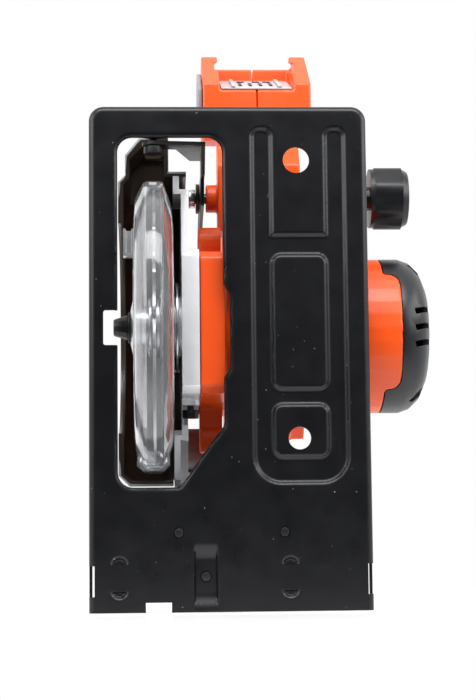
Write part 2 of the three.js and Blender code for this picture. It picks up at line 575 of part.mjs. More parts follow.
const capScrew = ([y, z]) => turned([[74, 0], [74, 1.6], [88, 1.6], [88, 1.9], [92.4, 1.9], [92.4, 3.9],
  [95, 3.9], [95, 0]], y, z, 12, 'X');

function motorCan() {
  const { y, z } = MOTOR;
  const steel = tubeX(4, 50, 31, 33.5, y, z, 36);
  const magnets = tubeX(6, 48, 22, 31.5, y, z, 36);
  const gaps = box(5, 49, y - 40, y + 40, z - 5, z + 5).intersect(tubeX(4, 50, 21, 30.9, y, z, 36));
  const ears = [-1, 1].map((s) => box(20, 34, y + s * 36.4 - 4, y + s * 36.4 + 4, z - 4, z + 4));
  return join(cut(join(steel, magnets), gaps), ...ears);
}

const rotorShaft = () => turned(
  [[-27.7, 0], [-27.7, 2.5], [-21.8, 2.5], [-21.8, 4], [91, 4], [91, 0]], MOTOR.y, MOTOR.z, 16, 'X',
);

function armature() {
  const outline = Array.from({ length: 10 }, (_, i) => {
    const at = (r, a) => arc(MOTOR.y, MOTOR.z, r, i * 36 + a, 0, 1)[0];
    return [at(21, -14), at(21, 14), at(15, 16), at(15, 20)];
  }).flat();
  const coils = [[0, 5.6], [48.4, 52.4]].map(([a, b]) => rodX(a, b, 16, MOTOR.y, MOTOR.z, 20));
  return cut(join(alongX(outline, 5.4, 48.6), ...coils), rodX(-1, 60, 4 + GAP, MOTOR.y, MOTOR.z));
}

const commutator = () => tubeX(53.4, 68, 4 + GAP, 11, MOTOR.y, MOTOR.z, 24);

function fan() {
  const hub = rodX(-11.5, -3, 9, MOTOR.y, MOTOR.z, 20);
  const plate = rodX(-5, -3, 31, MOTOR.y, MOTOR.z, 28);
  const blades = Array.from({ length: 9 }, (_, i) => {
    const geometry = new THREE.BoxGeometry(7, 20, 1.2);
    geometry.translate(-7.5, 20, 3);
    geometry.rotateX((i * 2 * Math.PI) / 9);
    geometry.translate(0, MOTOR.y, MOTOR.z);
    return solid(geometry);
  });
  return cut(join(hub, plate, ...blades), rodX(-13, 0, 4 + GAP, MOTOR.y, MOTOR.z));
}

const brushHolder = (s) => box(56, 66, MOTOR.y - 4, MOTOR.y + 4,
  ...[MOTOR.z + s * 11.6, MOTOR.z + s * 31].sort((a, b) => a - b));

// ---- handle -------------------------------------------------------------------------------
const HOUSING_CLEAR = MOTOR.r + 0.9;

function handleOutline() {
  return [
    ...arc(MOTOR.y, MOTOR.z, HOUSING_CLEAR, 22, 184, 16),
    [-66, 49], [-96, 50], [-108, 60], [-146, 60], [-173, 101], [-171, 110], [-160, 122], [-140, 136],
    [-112, 147], [-80, 152], [-45, 152], [-15, 149], [12, 145], [34, 137], [50, 125], [59, 109], [61, 94],
      [56, 80],
  ];
}

const loopOutline = () => [
  [-50, 76], [-100, 76], [-116, 84], [-122, 96], [-116, 110], [-104, 116], [-80, 119], [-50, 119],
  [-34, 114], [-30, 106], [-36, 88], [-42, 80],
];

const RECESS = { x0: -8, x1: 35.2 };
function handleShell(side) {
  const inner = SPLIT + (side * GAP) / 2;
  const span = (half) => [inner, SPLIT + side * half].sort((a, b) => a - b);
  const slab = (points, half) => alongX(points, ...span(half));
  const loop = alongX(loopOutline(), -30, 60);
  const chamfered = join(slab(handleOutline(), GRIP_HALF - 4), inset(handleOutline(), side));
  const foot = slab([[-112, 60.5], [-146, 60], [-173, 101], [-171, 110], [-160, 122], [-140, 132],
    [-124, 128], [-121, 80]], FOOT_HALF);
  const bar = slab([[-58, 50], [-96, 50.5], [-108, 60.5], [-146, 60.5], [-150, 68], [-122, 77],
    [-58, 75]], BAR_HALF);
  const sleeveEnd = side < 0 ? [-16.6, inner] : [inner, 70];
  const sleeve = rodX(...sleeveEnd, 8, DEPTH_BOLT.y, DEPTH_BOLT.z, 24);
  const bolt = rodX(-30, 80, DEPTH_BOLT.r + GAP, DEPTH_BOLT.y, DEPTH_BOLT.z);
  const recess = alongX([[-141, 58], [-160, 112], [-190, 112], [-190, 58]], RECESS.x0, RECESS.x1);
  const rail = [[-152, 58], [-166, 112], [-172, 112], [-158, 58]];
  const groove = side < 0 ? alongX(rail, RECESS.x0 - 2, RECESS.x0 + 1) : alongX(rail, RECESS.x1 - 1,
    RECESS.x1 + 2);
  const terminalRoom = alongX([[-149, 76], [-161, 108], [-132, 108], [-132, 76]], SPLIT - 14, SPLIT + 14);
  const switchRoom = box(SPLIT - 12, SPLIT + 12, -40, 6, 131.2, 141.4);
  const triggerRoom = box(SPLIT - 6.8, SPLIT + 6.8, -46.8, -15.6, 104, 131.5);
  const wireRoom = alongX([[-40, 128], [-40, 138], [-118, 136], [-136, 112], [-130, 100], [-112, 126]],
    SPLIT - 6, SPLIT + 6);
  const lock = rodX(-20, 50, 5.4, -50, 134, 16);
  const screws = HANDLE_SCREWS.flatMap(([y, z]) => {
    return [rodX(SPLIT - 12, 60, 1.9, y, z, 10), rodX(SPLIT + 9, 60, 4, y, z, 12)];
  });
  const motorRoom = rodX(-12, 100, HOUSING_CLEAR, MOTOR.y, MOTOR.z, 48);
  const brow = slab([[18, 98], [16, 130], [34, 133], [48, 122], [57, 107], [58, 95], [50, 88]],
    side > 0 ? 27 : 12);
  const body = join(cut(join(chamfered, foot, bar, brow), loop), sleeve);
  const rubber = gripSkin();
  return cut(
    body, bolt, recess, groove, terminalRoom, switchRoom, triggerRoom, wireRoom, lock, rubber, motorRoom,
      ...screws,
  );
}

// The outermost layer of a shell is drawn in a little, which chamfers its long edges.
function inset(points, side) {
  const [cy, cz] = [-60, 96];
  const drawn = points.map(([y, z]) => [cy + (y - cy) * 0.985, cz + (z - cz) * 0.95]);
  const span = [SPLIT + (side * GAP) / 2, SPLIT + side * GRIP_HALF].sort((a, b) => a - b);
  return alongX(drawn, ...span);
}

const HANDLE_SCREWS = [[18, 116], [-118, 128], [-124, 72]];
const handleScrew = ([y, z]) => turned(
  [[SPLIT - 11, 0], [SPLIT - 11, 1.6], [SPLIT + 9.3, 1.6], [SPLIT + 9.3, 3.6], [SPLIT + 12, 3.6],
    [SPLIT + 12, 0]], y, z, 12, 'X',
);

// The recess in the top and back of the grip that its rubber skin sits in.
function gripSkin() {
  const back = [[-20, 141], [-20, 160], [-128, 160], [-128, 132], [-112, 140.6], [-80, 145.4], [-45, 145.4]];
  return alongX(back, SPLIT - 40, SPLIT + 40);
}

function gripRubber() {
  const shape = join(
    alongX(handleOutline(), SPLIT - GRIP_HALF + 4, SPLIT + GRIP_HALF - 4), inset(handleOutline(), -1),
      inset(handleOutline(), 1),
  );
  const lifted = alongX(
    [[-20.4, 141.6], [-20.4, 160], [-127.6, 160], [-127.6, 133], [-112, 141.2], [-80, 146], [-45, 146]],
      SPLIT - 40, SPLIT + 40,
  );
  return shape.intersect(lifted);
}

const terminalBlock = () => {
  const block = alongX([[-146, 78], [-153, 106], [-134, 106], [-134, 78]], SPLIT - 13, SPLIT + 13);
  const blades = [-9, -3, 3, 9].map((s) => alongX([[-144, 82], [-150, 102], [-157, 102], [-151, 82]],
    SPLIT + s - 0.6, SPLIT + s + 0.6));
  return join(block, ...blades);
};

const sidePad = () => alongX(
  [[-124, 66], [-144, 66], [-160, 92], [-152, 104], [-130, 104]], SPLIT - FOOT_HALF - 3,
    SPLIT - FOOT_HALF - GAP,
);
const switchModule = () => box(SPLIT - 11.5, SPLIT + 11.5, -39.5, 5.5, 131.6, 141);

function trigger() {
  const outline = [[-16.4, 128.6], [-16.4, 112], [-22, 106], [-32, 107], [-40, 111], [-46, 120],
    [-46, 124], [-38, 125.5]];
  return alongX(outline, SPLIT - 6, SPLIT + 6);
}

const lockOff = () => cut(rodX(SPLIT - 21.5, SPLIT + 21.5, 4.9, -50, 134, 16),
  box(SPLIT - 3, SPLIT + 3, -60, -40, 137, 141));
const depthBolt = () => turned(
  [[-26.4, 0], [-26.4, 5.5], [-22.8, 5.5], [-22.8, 3], [90, 3], [90, 0]], DEPTH_BOLT.y, DEPTH_BOLT.z, 16, 'X',
);
const depthWasher = () => tubeX(-22.4, -20.4, 3.4, 8.5, DEPTH_BOLT.y, DEPTH_BOLT.z, 20);

function depthKnob() {
  const { y, z } = DEPTH_BOLT;
  const grip = alongX(lobed(18, 1.6, 7, 42).map(([u, v]) => [y + u, z + v]), 79.5, 95);
  const nose = turned([[94.9, 0], [94.9, 17.2], [98.5, 15.2], [98.5, 0]], y, z, 28, 'X');
  const skirt = rodX(77, 79.6, 17, y, z, 28);
  const hub = rodX(71, 78, 7, y, z, 16);
  return cut(join(grip, nose, skirt, hub), rodX(70, 91, 3 + GAP, y, z));
}

function lockPin() {
  const pin = rodY(25.2, 46, 1.9, -26.6, ARBOR.z, 12);
  const tip = box(-28, -25.2, 24.2, 26, ARBOR.z - 0.5, ARBOR.z + 0.5);
  return join(pin, tip, rodY(45.4, 50, 4.4, -26.6, ARBOR.z, 16));
}

function fenceScrew() {
  const head = alongZ(lobed(9, 1.5, 6, 30).map(([u, v]) => [FENCE.x + u, 135 + v]), 10, 20);
  const stem = rodZ(0.8, 11, 2.5, FENCE.x, 135, 12);
  return join(head, stem, rodZ(5.4, 11, 6, FENCE.x, 135, 16));
}

// ---- assembly -----------------------------------------------------------------------------
place('sole_plate', solePlate(), BLACK_STEEL);
place('bevel_quadrant', bevelQuadrant(), BLACK_STEEL);
place('rear_bevel_ear', rearEar(), BLACK_STEEL);
RIVETS.forEach((spot, i) => place(`quadrant_rivet_${['left', 'right'][i]}`, rivet(spot), BLACK_STEEL));
place('fence_screw', fenceScrew(), BLACK_PLASTIC);

place('front_bevel_bracket', frontBracket(), BLACK_STEEL);
place('depth_bracket', depthBracket(), BLACK_STEEL);
place('front_bevel_pin', frontPin(), STEEL);
place('rear_bevel_pin', rearPin(), BLACK_STEEL);
place('depth_pivot_pin', swingPin(), STEEL);
place('bevel_bolt', tiltBolt(), STEEL);
place('bevel_knob', tiltKnob(), BLACK_PLASTIC);

place('upper_guard', upperGuard(), DARK);
place('gear_case', gearCase(), CASTING);
place('bearing_plate', bearingPlate(), CASTING);
place('spindle_bearing_left', bearing(-36.8, -28.6, 7.5, 15, ARBOR), STEEL);
place('spindle_bearing_right', bearing(-21.2, -15.3, 5.3, 9.5, ARBOR), STEEL);
place('motor_bearing_front', bearing(-21, -14.7, 4.3, 11, MOTOR), STEEL);
place('motor_bearing_rear', bearing(85, 91.5, 4.3, 9.6, MOTOR), STEEL);
CASE_SCREWS.forEach((spot, i) => place(`case_screw_${['rear', 'front'][i]}`, caseScrew(spot), STEEL));
place('motor_housing', motorHousing(), ORANGE);
place('motor_end_cap', endCap(), BLACK_PLASTIC);
CAP_SCREWS.slice(0, 2).forEach((spot, i) => place(`cap_screw_${['rear', 'front'][i]}`, capScrew(spot),
  STEEL));
place('motor_can', motorCan(), STEEL);
place('brush_holder_lower', brushHolder(-1), COPPER);
place('brush_holder_upper', brushHolder(1), COPPER);

place('handle_shell_left', handleShell(-1), ORANGE);
place('handle_shell_right', handleShell(1), ORANGE);
HANDLE_SCREWS.forEach((spot, i) => place(`handle_screw_${['front', 'rear', 'foot'][i]}`,
  handleScrew(spot), STEEL));
place('grip_rubber', gripRubber(), SOFT_BLACK);
place('terminal_block', terminalBlock(), GREY);
place('foot_side_pad', sidePad(), GREY);
place('switch_module', switchModule(), BLACK_PLASTIC);
place('trigger', trigger(), BLACK_PLASTIC);
place('lock_off_button', lockOff(), BLACK_PLASTIC);
place('spindle_lock_button', lockPin(), BLACK_PLASTIC);
place('depth_clamp_bolt', depthBolt(), STEEL);
place('depth_clamp_washer', depthWasher(), BLACK_PLASTIC);
place('depth_knob', depthKnob(), BLACK_PLASTIC);

place('lower_guard', lowerGuard(), CLEAR, true);
place('guard_lever', guardLever(), CLEAR, true);
place('guard_retaining_ring', guardRing(), STEEL);
place('guard_spring', guardSpring(), STEEL);

place('spindle', spindle(), STEEL);
place('spindle_gear', spindleGear(), STEEL);
place('inner_flange', innerFlange(), STEEL);
place('saw_blade', sawBlade(), STEEL);
place('outer_flange', outerFlange(), STEEL);
place('bolt_washer', boltWasher(), BLACK_STEEL);
place('blade_bolt', bladeBolt(), BLACK_STEEL);

place('rotor_shaft', rotorShaft(), STEEL);
place('pinion', pinion(), STEEL);
place('cooling_fan', fan(), BLACK_PLASTIC);
place('armature', armature(), COPPER);
place('commutator', commutator(), COPPER);

export default group;
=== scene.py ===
# %% [markdown]
# # A cordless circular saw, seen from below
# The saw stands on its nose, so its sole plate faces the viewer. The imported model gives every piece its
# true size and place. This script puts finer pressed sheet, clear plastic and soft edges over it.

import json
import math

import bpy
import numpy as np
from mathutils import Matrix, Vector, geometry


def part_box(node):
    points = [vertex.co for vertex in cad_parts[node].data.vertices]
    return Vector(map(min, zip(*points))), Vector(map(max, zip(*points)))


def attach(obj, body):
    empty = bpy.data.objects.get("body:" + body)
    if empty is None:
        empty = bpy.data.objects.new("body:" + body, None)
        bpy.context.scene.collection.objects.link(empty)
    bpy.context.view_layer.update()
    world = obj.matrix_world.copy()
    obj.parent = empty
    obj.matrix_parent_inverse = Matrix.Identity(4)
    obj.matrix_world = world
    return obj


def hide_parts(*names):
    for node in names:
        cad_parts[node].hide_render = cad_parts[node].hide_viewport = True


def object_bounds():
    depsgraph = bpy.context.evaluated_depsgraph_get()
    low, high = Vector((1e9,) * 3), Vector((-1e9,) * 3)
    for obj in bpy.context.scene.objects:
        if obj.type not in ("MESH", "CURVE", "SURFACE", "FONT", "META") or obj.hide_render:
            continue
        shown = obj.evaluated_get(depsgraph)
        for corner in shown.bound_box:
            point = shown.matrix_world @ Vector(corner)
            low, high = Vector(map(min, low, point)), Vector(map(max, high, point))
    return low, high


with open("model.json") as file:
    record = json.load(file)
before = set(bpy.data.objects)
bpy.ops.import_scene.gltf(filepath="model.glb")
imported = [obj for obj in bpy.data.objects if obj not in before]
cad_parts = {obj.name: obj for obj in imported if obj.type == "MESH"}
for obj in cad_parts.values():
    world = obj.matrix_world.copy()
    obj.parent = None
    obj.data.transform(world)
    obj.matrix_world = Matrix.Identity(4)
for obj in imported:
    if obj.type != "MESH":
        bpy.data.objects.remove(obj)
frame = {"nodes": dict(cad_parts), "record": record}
nodes = frame["nodes"]
cad_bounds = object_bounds()
MM = 0.001
print(len(nodes), "pieces, box", cad_bounds)

# %% [markdown]
# ## The camera
# The saw is seen straight on from below, from nearly a metre away with a long lens, so the sole plate keeps
# almost parallel sides. The columns of the camera's matrix are its right, up and backward directions.

# %% Camera
RIGHT = Vector((0.9990, 0.0100, -0.0441))
UP = Vector((0.0053, -0.9943, -0.1063))
BACK = Vector((-0.0449, 0.1059, -0.9934))
EYE = Vector((-0.0428, 0.1125, -0.9101))
LENS = 88.46

camera = bpy.data.objects.new("camera", bpy.data.cameras.new("camera"))
camera.data.lens = LENS
camera.data.sensor_width = 36
camera.data.clip_start = 0.01
axes = Matrix((RIGHT, UP, BACK)).transposed().to_4x4()
camera.matrix_world = Matrix.Translation(EYE) @ axes
bpy.context.collection.objects.link(camera)
bpy.context.scene.camera = camera
print("camera at", tuple(round(v, 3) for v in EYE))

# %% [markdown]
# ## Finishes
# Each finish is one shader with three layers of real detail: a slow mottle in its colour, a change of gloss
# as on a handled surface, and a fine grain in its relief. One function builds them all, because pressed
# steel, cast metal and moulded plastic differ in the amounts and not in the recipe.

# %% Nodes for a finish
def node(tree, kind, **values):
    made = tree.nodes.new(kind)
    for key, value in values.items():
        if key in made.inputs:
            made.inputs[key].default_value = value
        else:
            setattr(made, key, value)
    return made


def noise(tree, place, scale, detail=3.0):
    made = node(tree, "ShaderNodeTexNoise", Scale=scale, Detail=detail)
    tree.links.new(place, made.inputs["Vector"])
    return made.outputs["Fac"]


def between(tree, fac, low, high, a, b):
    made = node(tree, "ShaderNodeMapRange", **{"From Min": low, "From Max": high, "To Min": a, "To Max": b})
    tree.links.new(fac, made.inputs["Value"])
    return made.outputs["Result"]


def tint(tree, fac, first, second):
    made = tree.nodes.new("ShaderNodeMix")
    made.data_type = "RGBA"
    made.inputs[6].default_value = (*first, 1)
    made.inputs[7].default_value = (*second, 1)
    tree.links.new(fac, made.inputs[0])
    return made.outputs[2]


def finish(name, colour, worn, rough, metal=0.0, grain=900.0, relief=0.02, swing=0.08, **sockets):
    material = bpy.data.materials.new(name)
    material.use_nodes = True
    tree = material.node_tree
    shader = tree.nodes["Principled BSDF"]
    place = tree.nodes.new("ShaderNodeTexCoord").outputs["Object"]
    mottle = noise(tree, place, 26.0, 5.0)
    colour_out = tint(tree, between(tree, mottle, 0.35, 0.75, 0.0, 1.0), colour, worn)
    tree.links.new(colour_out, shader.inputs["Base Color"])
    gloss = between(tree, noise(tree, place, 70.0), 0.3, 0.7, rough - swing / 2, rough + swing / 2)
    tree.links.new(gloss, shader.inputs["Roughness"])
    bump = node(tree, "ShaderNodeBump", Strength=0.35, Distance=relief * MM)
    tree.links.new(noise(tree, place, grain), bump.inputs["Height"])
    tree.links.new(bump.outputs["Normal"], shader.inputs["Normal"])
    shader.inputs["Metallic"].default_value = metal
    for key, value in sockets.items():
        shader.inputs[key.replace("_", " ")].default_value = value
    return material


# %% The saw's finishes
FINISHES = {
    "sole_steel": finish("sole_steel", (0.0026, 0.0028, 0.0042), (0.0042, 0.0045, 0.0062), 0.31, grain=1500,
                         relief=0.03, Specular_IOR_Level=0.42),
    "bracket_steel": finish("bracket_steel", (0.006, 0.006, 0.007), (0.010, 0.010, 0.012), 0.38,
                            Specular_IOR_Level=0.42),
    "bare_steel": finish("bare_steel", (0.60, 0.61, 0.62), (0.50, 0.51, 0.53), 0.24, 1.0),
    "blade_steel": finish("blade_steel", (0.42, 0.42, 0.43), (0.30, 0.30, 0.31), 0.30, 1.0, grain=400),
    "casting": finish("casting", (0.90, 0.91, 0.93), (0.76, 0.78, 0.81), 0.42, 0.55, grain=600, relief=0.06),
    # guard_dark: its dark brownish colour is painted shade inside the guard, with a painted reflection of the
    # orange housing
    "guard_dark": finish("guard_dark", (0.034, 0.023, 0.017), (0.056, 0.038, 0.028), 0.22, 0.0),
    "orange_shell": finish("orange_shell", (0.88, 0.090, 0.006), (0.82, 0.076, 0.004), 0.36, grain=1800,
                           relief=0.03),
    "black_plastic": finish("black_plastic", (0.008, 0.009, 0.011), (0.013, 0.014, 0.017), 0.34, grain=1400,
                            Specular_IOR_Level=0.42),
    "rubber_black": finish("rubber_black", (0.014, 0.014, 0.015), (0.022, 0.022, 0.023), 0.62, relief=0.06),
    "pad_grey": finish("pad_grey", (0.24, 0.25, 0.27), (0.34, 0.35, 0.37), 0.42, grain=700, relief=0.05),
    "terminal_grey": finish("terminal_grey", (0.50, 0.50, 0.51), (0.36, 0.36, 0.38), 0.45),
    "copper": finish("copper", (0.62, 0.28, 0.13), (0.50, 0.20, 0.09), 0.30, 1.0),
    "clear_guard": finish("clear_guard", (0.97, 0.98, 1.0), (0.90, 0.93, 0.97), 0.06, relief=0.02, swing=0.05,
                          Transmission_Weight=0.94, IOR=1.45, Specular_IOR_Level=0.8),
    "clear_tab": finish("clear_tab", (1.0, 1.0, 1.0), (0.78, 0.80, 0.84), 0.16, grain=260, relief=0.25,
                        Transmission_Weight=0.70, IOR=1.45),
}
print(len(FINISHES), "finishes")

# %% [markdown]
# ## Dust on the sole
# A used or handled sole plate shows dust and scuffs as small pale dots. They could be thousands of tiny
# pieces, but they have no height worth making, so the highest peaks of a fine noise colour them instead.

# %% Dust and scuffs
def speckle(material, dust, scale=420.0, rare=0.735):
    """Scattered dust and scuffs: only the highest peaks of a fine noise show."""
    tree = material.node_tree
    shader = tree.nodes["Principled BSDF"]
    place = tree.nodes.new("ShaderNodeTexCoord").outputs["Object"]
    peaks = between(tree, noise(tree, place, scale, 2.0), rare, rare + 0.03, 0.0, 1.0)
    mix = tree.nodes.new("ShaderNodeMix")
    mix.data_type = "RGBA"
    tree.links.new(peaks, mix.inputs[0])
    tree.links.new(shader.inputs["Base Color"].links[0].from_socket, mix.inputs[6])
    mix.inputs[7].default_value = (*dust, 1)
    tree.links.new(mix.outputs[2], shader.inputs["Base Color"])


speckle(FINISHES["sole_steel"], (0.16, 0.16, 0.17))
print("dust on the sole")

# %% [markdown]
# ## The upper guard's two sides
# The fixed guard is glossy inside, where the blade runs, and painted silver grey outside. Its dark brownish
# inside is painted shade of the hollow, with a painted reflection of the orange housing. It is one
# piece, so its finish asks which way each face turns: away from the arbor is outside, towards it is inside.

# %% Silver outside, dark inside
ARBOR = Vector((-46.0, 0.0, 27.0)) * MM


def two_sided(material, outside, rough):
    tree = material.node_tree
    shader = tree.nodes["Principled BSDF"]
    place = tree.nodes.new("ShaderNodeTexCoord")
    from_arbor = node(tree, "ShaderNodeVectorMath", operation="SUBTRACT")
    from_arbor.inputs[1].default_value = ARBOR
    tree.links.new(place.outputs["Object"], from_arbor.inputs[0])
    facing = node(tree, "ShaderNodeVectorMath", operation="DOT_PRODUCT")
    tree.links.new(from_arbor.outputs[0], facing.inputs[0])
    tree.links.new(place.outputs["Normal"], facing.inputs[1])
    # faces turned towards the arbor keep the dark colour: painted shade and a painted orange reflection
    # inside the guard
    outer = between(tree, facing.outputs["Value"], 0.004, 0.006, 0.0, 1.0)
    for socket, value in (("Base Color", (*outside, 1)), ("Roughness", rough)):
        mix = tree.nodes.new("ShaderNodeMix")
        mix.data_type = "RGBA" if socket == "Base Color" else "FLOAT"
        first, second, out = (6, 7, 2) if socket == "Base Color" else (2, 3, 0)
        tree.links.new(shader.inputs[socket].links[0].from_socket, mix.inputs[first])
        mix.inputs[second].default_value = value
        tree.links.new(outer, mix.inputs[0])
        tree.links.new(mix.outputs[out], shader.inputs[socket])


two_sided(FINISHES["guard_dark"], (0.42, 0.43, 0.45), 0.34)
print("upper guard is silver outside and dark inside")

# %% [markdown]
# ## Which piece has which finish
# The record names a finish slot for every piece, so the scene takes them from there. A piece with no slot
# of its own would show up in the printed count.

# %% Slots from the record
slot_of = {part["node"]: part["material_slot"] for part in frame["record"]["subparts"]}
missing = [name for name in nodes if slot_of.get(name) not in FINISHES]
print(len(slot_of), "pieces with a slot, without:", missing)

# %% [markdown]
# ## Softened edges
# A moulded shell, a casting and a turned bolt all have small radii that catch the light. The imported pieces
# are sharp, so each gets a stack of modifiers: flat triangles are joined into whole faces, the real edges
# are rounded by an amount that suits the piece, and only the edges that stay sharp break the shading.

# %% Smooth shading that stops at sharp edges
def shading_group(limit_degrees=32):
    group = bpy.data.node_groups.new("smooth_to_sharp_edges", "GeometryNodeTree")
    group.interface.new_socket("Geometry", in_out="INPUT", socket_type="NodeSocketGeometry")
    group.interface.new_socket("Geometry", in_out="OUTPUT", socket_type="NodeSocketGeometry")
    start, end = group.nodes.new("NodeGroupInput"), group.nodes.new("NodeGroupOutput")
    faces, edges = (group.nodes.new("GeometryNodeSetShadeSmooth") for _ in range(2))
    faces.domain, edges.domain = "FACE", "EDGE"
    edges.inputs["Shade Smooth"].default_value = False
    angle = group.nodes.new("GeometryNodeInputMeshEdgeAngle")
    sharp = group.nodes.new("FunctionNodeCompare")
    sharp.inputs["B"].default_value = math.radians(limit_degrees)
    group.links.new(angle.outputs["Unsigned Angle"], sharp.inputs["A"])
    group.links.new(sharp.outputs["Result"], edges.inputs["Selection"])
    group.links.new(start.outputs[0], faces.inputs["Geometry"])
    group.links.new(faces.outputs[0], edges.inputs["Geometry"])
    group.links.new(edges.outputs[0], end.inputs[0])
    return group


SMOOTH_TO_SHARP = shading_group()


def smooth(piece):
    piece.modifiers.new("shading", "NODES").node_group = SMOOTH_TO_SHARP


def soften(piece, radius, segments=3, limit=28):
    weld = piece.modifiers.new("weld", "WELD")
    weld.merge_threshold = 0.005 * MM
    flat = piece.modifiers.new("whole faces", "DECIMATE")
    flat.decimate_type = "DISSOLVE"
    flat.angle_limit = math.radians(1.0)
    edge = piece.modifiers.new("rounded edges", "BEVEL")
    edge.width = radius * MM
    edge.segments = segments
    edge.limit_method = "ANGLE"
    edge.angle_limit = math.radians(limit)
    edge.miter_outer = "MITER_ARC"
    edge.use_clamp_overlap = True
    smooth(piece)


# %% Moulded and cast pieces
def mould(piece, voxel, rounds):
    """Re-skins a piece in small even faces and lets them settle, which rounds every edge."""
    weld = piece.modifiers.new("weld", "WELD")
    weld.merge_threshold = 0.005 * MM
    skin = piece.modifiers.new("even skin", "REMESH")
    skin.mode = "VOXEL"
    skin.voxel_size = voxel * MM
    settle = piece.modifiers.new("settled edges", "SMOOTH")
    settle.factor, settle.iterations = 0.5, rounds
    thin = piece.modifiers.new("fewer flat faces", "DECIMATE")
    thin.decimate_type = "DISSOLVE"
    thin.angle_limit = math.radians(0.6)
    smooth(piece)


MOULDED = ("handle_shell_left", "handle_shell_right", "motor_housing")
VOXEL = 0.75  # size of the small faces, in mm
ROUNDS = 4    # of settling

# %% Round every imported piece
RADIUS = {
    "motor_end_cap": 0.9, "depth_knob": 1.1, "gear_case": 0.5, "upper_guard": 0.7, "foot_side_pad": 0.8,
    "grip_rubber": 0.8, "bevel_knob": 0.7, "fence_screw": 0.5, "trigger": 1.0, "saw_blade": 0.12,
}
FINE = 0.3
CLOUDED = "guard_lever"  # the one clear piece that is frosted
for name, piece in nodes.items():
    if name in MOULDED:
        mould(piece, VOXEL, ROUNDS)
    else:
        soften(piece, RADIUS.get(name, FINE))
    piece.data.materials.clear()
    piece.data.materials.append(FINISHES["clear_tab" if name == CLOUDED else slot_of[name]])
print("softened", len(nodes), "pieces")

# %% [markdown]
# ## The sole plate
# The real sole is one steel blank pressed over a die: its sides and its blade window are rolled over a
# radius, and a ladder-shaped channel stiffens it. It could be carved with booleans, but a pressed sheet has
# no crisp corners. So the flat blank is triangulated first, then every point is carried to its place on the
# pressed surface, as the press does it.

# %% Distance to a rounded outline
def inside_distance(points, x0, x1, y0, y1, radii):
    """How far each point lies inside a rectangle with four corner radii, in mm; negative outside it."""
    x, y = points[:, 0] - (x0 + x1) / 2, points[:, 1] - (y0 + y1) / 2
    low, left = y < 0, x < 0
    r = np.where(low, np.where(left, radii[0], radii[1]), np.where(left, radii[3], radii[2]))
    qx, qy = np.abs(x) - (x1 - x0) / 2 + r, np.abs(y) - (y1 - y0) / 2 + r
    corner = np.hypot(np.maximum(qx, 0), np.maximum(qy, 0))
    return r - corner - np.minimum(np.maximum(qx, qy), 0)


def rounded_ring(x0, x1, y0, y1, radii, inset=0.0, step=2.0):
    """Points round the same outline, moved inwards by inset."""
    corners = [(x0, y0, 180), (x1, y0, 270), (x1, y1, 0), (x0, y1, 90)]
    ring = []
    for (cx, cy, turn), radius in zip(corners, radii):
        r = max(radius - inset, 0.02)
        sx, sy = (1 if cx == x0 else -1), (1 if cy == y0 else -1)
        centre = (cx + sx * (inset + r), cy + sy * (inset + r))
        for angle in np.linspace(turn, turn + 90, max(3, int(r * 1.6 / step) + 6)):
            a = math.radians(angle)
            ring.append((centre[0] + r * math.cos(a), centre[1] + r * math.sin(a)))
    filled = []
    for a, b in zip(ring, ring[1:] + ring[:1]):
        count = max(1, int(math.dist(a, b) / (2.5 * step)))
        filled += [(a[0] + (b[0] - a[0]) * k / count, a[1] + (b[1] - a[1]) * k / count) for k in range(count)]
    return filled


# %% Driving sizes of the sole, in millimetres
low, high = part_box("sole_plate")
X0, Y0, _ = (v / MM for v in low)
X1, Y1, FLANGE = (v / MM for v in high)
SHEET = 1.6  # thickness of the steel
BEND = 3.4
WINDOW = (-65.7, -9.2, -100.2, 88.0)
WINDOW_CORNER = 8
WINDOW_LIP = 2.2
LADDER = (6.0, 57.5, -105.7, 87.0)
LEG = 12.0
RISE = 2.0
print("sole", round(X1 - X0, 1), "x", round(Y1 - Y0, 1), "mm")


# %% The window's outline and the channels
def window_outline(grown=0.0, fine=10):
    """The blade window, with its cut-away corner and its wide part for the case."""
    x0, x1, y0, y1 = WINDOW
    g = grown

    def bend(cx, cy, r, start, end):
        return [(cx + r * math.cos(math.radians(a)), cy + r * math.sin(math.radians(a)))
                for a in np.linspace(start, end, fine)]

    c = WINDOW_CORNER
    return [
        *bend(x0 + c, y0 + c, c + g, 180, 270), *bend(x1 - c, y0 + c, c + g, 270, 360),
        (x1 + g, -20), (x1 + g + 3.4, -15), (x1 + g + 3.4, 25), (x1 + g, 30), (x1 + g, 55.4),
        (x1 + g - 8, 66), (-33 + g, y1 + g), *bend(x0 + c, y1 - c, c + g, 90, 180),
    ]


def closed_distance(points, outline):
    """Distance to a closed outline, positive outside it, and the nearest point on it, all in mm."""
    best = np.full(len(points), 1e9)
    nearest = np.zeros((len(points), 2))
    inside = np.zeros(len(points), bool)
    for a, b in zip(outline, outline[1:] + outline[:1]):
        a, b = np.array(a), np.array(b)
        along = b - a
        t = np.clip(((points - a) @ along) / max(along @ along, 1e-9), 0, 1)
        foot = a + t[:, None] * along
        gap = np.hypot(*(points - foot).T)
        closer = gap < best
        best[closer], nearest[closer] = gap[closer], foot[closer]
        crosses = (a[1] > points[:, 1]) != (b[1] > points[:, 1])
        slope = along[0] / (along[1] if along[1] else 1e-9)
        inside ^= crosses & (points[:, 0] < a[0] + (points[:, 1] - a[1]) * slope)
    return np.where(inside, -best, best), nearest


def step_up(distance, soft):
    """0 outside, 1 inside, with an S bend of the pressed sheet between."""
    t = np.clip(0.5 + distance / (2 * soft), 0, 1)
    return t * t * (3 - 2 * t)


